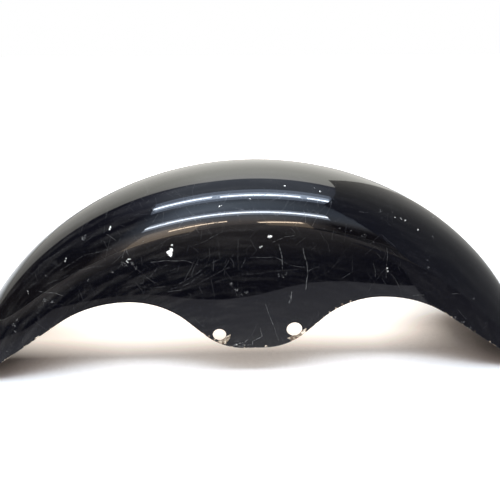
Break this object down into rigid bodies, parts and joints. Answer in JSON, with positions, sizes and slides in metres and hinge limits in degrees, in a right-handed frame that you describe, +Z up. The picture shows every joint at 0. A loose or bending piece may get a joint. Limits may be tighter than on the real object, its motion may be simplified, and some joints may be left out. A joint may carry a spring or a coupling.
{
  "type": "motorcycle front mudguard",
  "caption": "Front mudguard pressed from one steel sheet, curved round the wheel, with a low tab on each side that bolts to the fork leg.",
  "frame": {"origin": "on the surface that the four tip corners stand on, below the middle of the part", "axes": "+X along the bike, +Y across the wheel, +Z up; the side of the picture faces -Y"},
  "size_m": [0.6444, 0.13, 0.219],
  "materials": {
    "mudguard": "gloss black enamel over pale primer, chipped and scratched"
  },
  "bodies": {
    "root": {"mudguard": "mudguard"}
  },
  "joints": []
}
